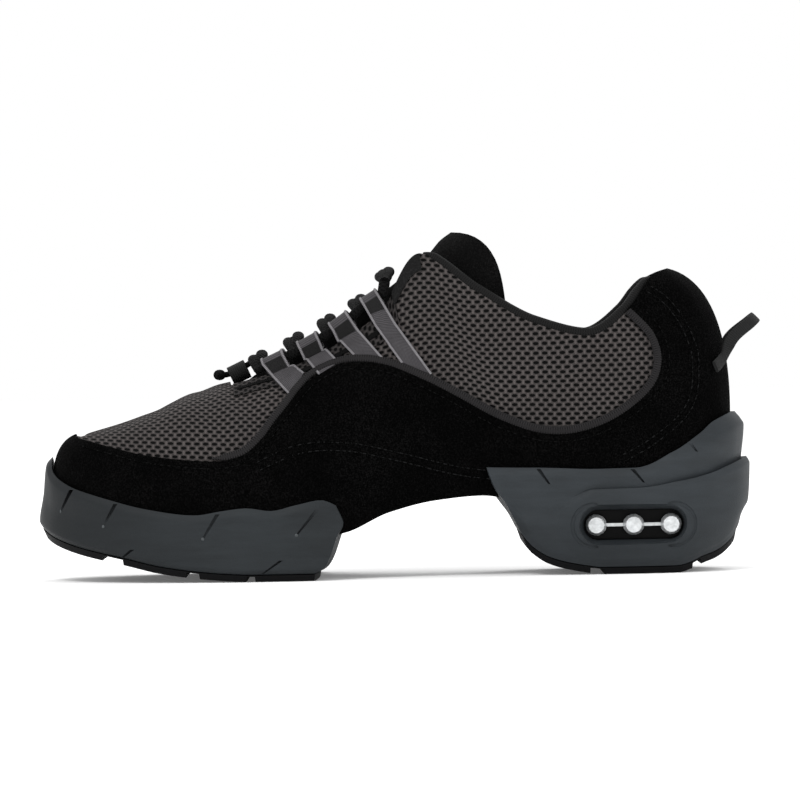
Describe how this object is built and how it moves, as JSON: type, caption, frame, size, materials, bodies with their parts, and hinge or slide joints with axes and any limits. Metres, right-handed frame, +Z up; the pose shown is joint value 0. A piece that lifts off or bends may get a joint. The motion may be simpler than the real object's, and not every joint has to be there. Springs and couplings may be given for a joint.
{
  "type": "dance sneaker",
  "caption": "Left split-sole dance sneaker: mesh and black suede upper, grey moulded forefoot unit and heel cup with a studded side window, webbing lace loops and a heel pull loop.",
  "frame": {"origin": "on the floor, under the centre of the heel tread's flat ground face", "axes": "+X from toe to heel, +Y to the inner (medial) side, +Z up; a left shoe"},
  "size_m": [0.2745, 0.0934, 0.1289],
  "materials": {
    "mesh_fabric": "open knitted mesh over a dark lining",
    "suede": "brushed black suede",
    "tongue_suede": "black velvet-like tongue cloth",
    "insole_sock": "black foam-backed sock",
    "trim": "dark grey woven tape",
    "moulded_sole": "matt dark grey moulded polyurethane",
    "tread_rubber": "black rubber tread",
    "window_plastic": "glossy black window insert",
    "clear_stud": "clear silvery studs",
    "lace_cord": "black round lace",
    "webbing": "grey satin webbing"
  },
  "bodies": {
    "root": {"collar_binding_lateral": "trim", "collar_binding_medial": "trim", "eyestay_lateral": "trim", "eyestay_medial": "trim", "heel_studs_lateral": "clear_stud", "heel_studs_medial": "clear_stud", "heel_window_lateral": "window_plastic", "heel_window_medial": "window_plastic", "insole": "insole_sock", "lace": "lace_cord", "lace_loop_lateral_1": "webbing", "lace_loop_lateral_2": "webbing", "lace_loop_lateral_3": "webbing", "lace_loop_lateral_4": "webbing", "lace_loop_medial_1": "webbing", "lace_loop_medial_2": "webbing", "lace_loop_medial_3": "webbing", "lace_loop_medial_4": "webbing", "outsole_forefoot": "tread_rubber", "outsole_heel": "tread_rubber", "piping_lateral": "trim", "piping_medial": "trim", "pull_loop": "trim", "sole_forefoot": "moulded_sole", "sole_heel": "moulded_sole", "suede_overlay": "suede", "tongue": "tongue_suede", "upper": "mesh_fabric", "vamp_tab": "trim"}
  },
  "joints": []
}
